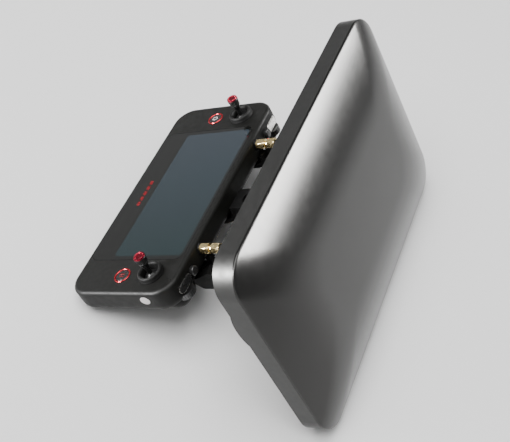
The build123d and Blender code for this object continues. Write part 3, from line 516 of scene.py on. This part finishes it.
def build_marks():
    """Generic symbols: a house on one face button, two bars on the other, slanted dashes on the glass."""
    surface, ink = 0.15, 0.12
    bm = bmesh.new()
    x, y = -BUTTON_X, BUTTON_Y
    roof = [(-2.9, -0.1), (0, 2.9), (2.9, -0.1), (2.1, -0.1), (0, 1.9), (-2.1, -0.1)]
    walls = [(-1.9, -2.5), (1.9, -2.5), (1.9, -0.3), (1.2, -0.3)]
    walls += [(1.2, -1.9), (-1.2, -1.9), (-1.2, -0.3), (-1.9, -0.3)]
    for outline in (roof, walls):
        prism(bm, [(x + u, y + v) for u, v in outline], surface, surface + ink)
    finish_piece("home_symbol", bm, "dot_white", "home_button")
    bm = bmesh.new()
    for offset in (-1.15, 1.15):
        cx = BUTTON_X + offset
        prism(bm, [(cx - 0.4, BUTTON_Y - 2.2), (cx + 0.4, BUTTON_Y - 2.2), (cx + 0.4, BUTTON_Y + 2.2),
                   (cx - 0.4, BUTTON_Y + 2.2)], surface, surface + ink)
    finish_piece("pause_symbol", bm, "red_ring", "pause_button")
    bm = bmesh.new()
    mark_y, glass_top = -32.6, -0.05
    for k in range(5):
        left = -15.5 + 6.4 * k
        prism(bm, [(left, mark_y - 1.7), (left + 4.4, mark_y - 1.7), (left + 5.6, mark_y + 1.7),
                   (left + 1.2, mark_y + 1.7)], glass_top, glass_top + 0.04)
    finish_piece("glass_mark", bm, "red_ring", BODY)


# ---------------------------------------------------------------- connectors and leads
def build_connectors(side, name, first):
    """Gold-plated jack and plug on the case, plug and jack on the panel, and their boots."""
    away = (0, 1, 0)
    bm = bmesh.new()
    centre = (side * JACK_X, 0, JACK_Z)
    top = CASE_TOP
    lathe(bm, centre, away, [(3.0, top - 3.6), (3.0, top + 1.7)] + thread(top + 1.75, top + 8.6), 40)
    hexagon(bm, centre, away, 8.0, top + 1.9, top + 9.9, 0.8)
    neck = [(2.4, 9.8), (2.4, 10.9), (2.9, 11.1), (2.9, 12.3), (2.4, 12.6), (2.4, 13.0)]
    lathe(bm, centre, away, [(radius, top + height) for radius, height in neck], 40)
    hexagon(bm, centre, away, 7.9, top + 12.9, top + 19.9, 0.5)
    replaced = ["antenna_jacks", "lead_plugs"] if first else ()
    finish_piece(f"{name}_case_connector", bm, "brass_gold", BODY, replaced)

    bm = bmesh.new()
    hexagon(bm, centre, away, 8.6, top + 0.1, top + 1.75, 0.3)
    finish_piece(f"{name}_case_nut", bm, "stick_black", BODY)

    bm = bmesh.new()
    ferrule = [(2.2, top + 19.8), (2.5, top + 20.0), (2.5, top + 23.0)]
    ferrule += [(2.35, top + 23.3), (2.35, top + 24.6)]
    ferrule += [(2.2 - 0.08 * k + (0.12 if k % 2 else 0.0), top + 24.8 + 0.6 * k) for k in range(5)]
    ferrule += [(1.7, top + 27.8)]
    lathe(bm, centre, away, ferrule, 40)
    finish_piece(f"{name}_case_boot", bm, "cable_black", BODY)

    bm = bmesh.new()
    centre = (side * PANEL_JACK_X, 0, PANEL_JACK_Z)
    hexagon(bm, centre, away, 7.6, 118.5, 126.3, 0.7)
    lathe(bm, centre, away, [(2.7, 116.4), (3.1, 116.6), (3.1, 118.2), (2.7, 118.6)], 40)
    lathe(bm, centre, away, thread(126.2, COVER_BACK - 1.9) + [(3.0, COVER_BACK + 1)], 40)
    hexagon(bm, centre, away, 8.4, COVER_BACK - 2.0, COVER_BACK - 0.02, 0.3)
    replaced = ["panel_plugs", "panel_jacks"] if first else ()
    finish_piece(f"{name}_panel_connector", bm, "brass_gold", PANEL, replaced)

    bm = bmesh.new()
    boot = [(1.6, 109.5), (1.7, 110.0)] + [(1.9 + 0.08 * k, 110.4 + 0.6 * k) for k in range(6)]
    boot += [(2.5, 114.2), (2.5, 116.4), (2.2, 116.5)]
    lathe(bm, centre, away, boot, 40)
    finish_piece(f"{name}_panel_boot", bm, "cable_black", PANEL)


def lead_points(side):
    """Route of a lead, from the boot on the case down behind it to the boot on the panel."""
    jack = side * JACK_X
    end = side * PANEL_JACK_X
    step = jack - end
    return [
        (jack, 79.5, JACK_Z),
        (jack, 90.0, JACK_Z),
        (jack - 0.26 * step, 99.0, JACK_Z - 14.0),
        (jack - 0.46 * step, 100.5, JACK_Z - 31.0),
        (jack - 0.68 * step, 97.0, JACK_Z - 48.0),
        (jack - 0.88 * step, 96.0, JACK_Z - 62.0),
        (end, 102.5, PANEL_JACK_Z),
        (end, 109.5, PANEL_JACK_Z),
    ]


def build_lead(side, name):
    """Coaxial lead held between its two plugs."""
    points = [at(*p) for p in lead_points(side)]
    curve = bpy.data.curves.new(f"{name}_coax", "CURVE")
    curve.dimensions = "3D"
    spline = curve.splines.new("NURBS")
    spline.points.add(len(points) - 1)
    for target, point in zip(spline.points, points):
        target.co = (*point, 1.0)
    spline.order_u = 3
    spline.use_endpoint_u = True
    spline.resolution_u = 14
    curve.bevel_depth = 1.4 * MM
    curve.bevel_resolution = 5
    curve.use_fill_caps = True
    tube = bpy.data.objects.new(f"{name}_coax", curve)
    bpy.context.scene.collection.objects.link(tube)
    bpy.context.view_layer.update()
    mesh = bpy.data.meshes.new_from_object(tube.evaluated_get(bpy.context.evaluated_depsgraph_get()))
    bpy.data.objects.remove(tube)
    for face in mesh.polygons:
        face.use_smooth = True
    mesh.materials.clear()
    mesh.materials.append(MATERIALS["cable_black"])
    obj = bpy.data.objects.new(f"{name}_coax_lead", mesh)
    bpy.context.scene.collection.objects.link(obj)
    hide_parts(f"{name}_lead")
    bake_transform(obj)


# ---------------------------------------------------------------- stage
def floor():
    """Pale paper under the object."""
    bm = bmesh.new()
    bmesh.ops.create_grid(bm, x_segments=1, y_segments=1, size=6)
    mesh = bpy.data.meshes.new("floor")
    bm.to_mesh(mesh)
    bm.free()
    made = Surface("floor_paper", (0.86, 0.86, 0.86), 0.9).mottle(300, 0.01)
    mesh.materials.append(made.mat)
    obj = bpy.data.objects.new("floor", mesh)
    bpy.context.scene.collection.objects.link(obj)


def area_light(name, toward, distance, width, height, power):
    """Soft box in the given direction from the object, facing it."""
    data = bpy.data.lights.new(name, "AREA")
    data.shape = "RECTANGLE"
    data.size, data.size_y = width, height
    data.energy = power
    obj = bpy.data.objects.new(name, data)
    aim = Vector((0, 0, 0.08))
    direction = Vector(toward).normalized()
    obj.location = aim + direction * distance
    obj.rotation_euler = (-direction).to_track_quat("-Z", "Y").to_euler()
    bpy.context.scene.collection.objects.link(obj)
    return obj


def lights():
    """Grey surroundings, a soft box overhead, and two more that show only in reflections."""
    world = bpy.data.worlds.new("studio")
    world.use_nodes = True
    background = world.node_tree.nodes["Background"]
    background.inputs["Color"].default_value = (1, 1, 1, 1)
    background.inputs["Strength"].default_value = 0.36
    bpy.context.scene.world = world
    window = area_light("window", (-0.56, 0.60, 0.57), 1.7, 1.0, 0.62, 140)
    window.visible_diffuse = False
    area_light("overhead", (0.1, -0.2, 1.0), 2.0, 1.8, 1.8, 78)
    strip = area_light("side_strip", (0.57, -0.76, 0.30), 1.6, 0.30, 0.6, 140)
    strip.visible_diffuse = False


def camera():
    """The photograph's viewpoint, in the controller's frame, with its lean."""
    data = bpy.data.cameras.new("camera")
    data.sensor_width = 36.0
    data.lens = 65.73
    obj = bpy.data.objects.new("camera", data)
    eye, aim, lean = (460.39, 481.17, 413.18), (-8.33, 53.14, -47.00), 30.494
    forward = (at(*aim) - at(*eye)).normalized()
    out = (at(0, 0, 1) - at(0, 0, 0)).normalized()
    right = forward.cross(out).normalized()
    up = right.cross(forward)
    angle = radians(lean)
    up, right = up * cos(angle) + right * sin(angle), right * cos(angle) - up * sin(angle)
    turn = Matrix((right, up, -forward)).transposed().to_4x4()
    obj.matrix_world = Matrix.Translation(at(*eye)) @ turn
    bpy.context.scene.collection.objects.link(obj)
    bpy.context.scene.camera = obj


dress_cad_nodes()
build_dome()
for side, name in ((-1, "left"), (1, "right")):
    build_stick(side, name)
    build_collar(side, name, ["stick_collars"] if side < 0 else ())
    build_connectors(side, name, side < 0)
    build_lead(side, name)
build_marks()
floor()
lights()
camera()
